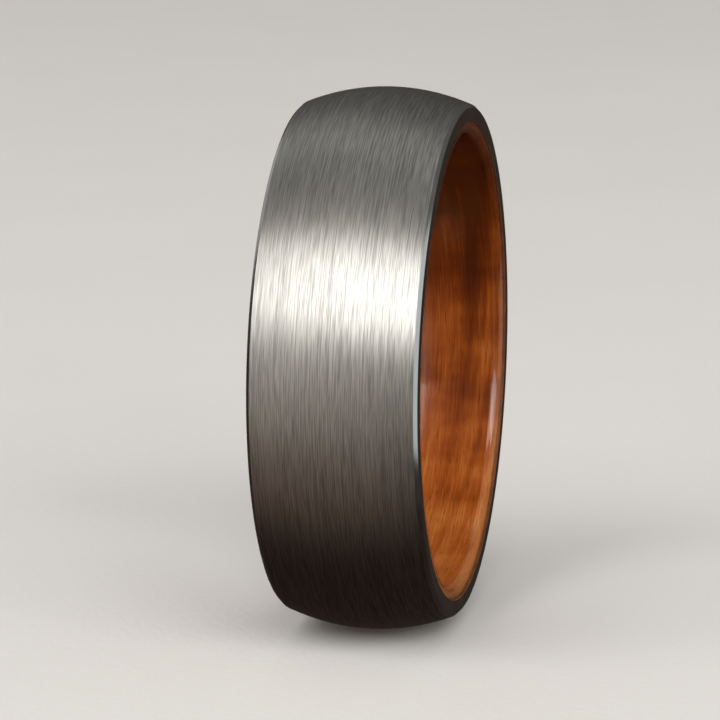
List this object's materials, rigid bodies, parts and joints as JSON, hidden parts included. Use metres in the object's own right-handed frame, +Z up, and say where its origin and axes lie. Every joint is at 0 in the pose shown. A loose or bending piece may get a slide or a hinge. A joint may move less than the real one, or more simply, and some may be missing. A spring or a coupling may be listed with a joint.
{
  "type": "wedding band",
  "caption": "Domed wedding band: satin-brushed metal shell with polished bevels and flat side faces, lined with a clear-coated wood sleeve with rounded inner edges.",
  "frame": {"origin": "centre of the finger hole, on the band's axis, half way between its side faces", "axes": "+Y along the band's axis, +Z up with the band standing on edge, +X across the finger hole"},
  "size_m": [0.023, 0.007, 0.023],
  "materials": {
    "shell_metal": "satin dome brushed round the band, polished bevels, smooth side faces",
    "adhesive": "cured clear adhesive, faintly amber",
    "liner_wood": "warm orange-brown wood with mottled figure, grain round the band",
    "clear_finish": "hard clear gloss coat, polished"
  },
  "bodies": {
    "root": {"metal_shell": "shell_metal", "adhesive_layer": "adhesive", "wood_liner": "liner_wood", "clear_coat": "clear_finish"}
  },
  "joints": []
}
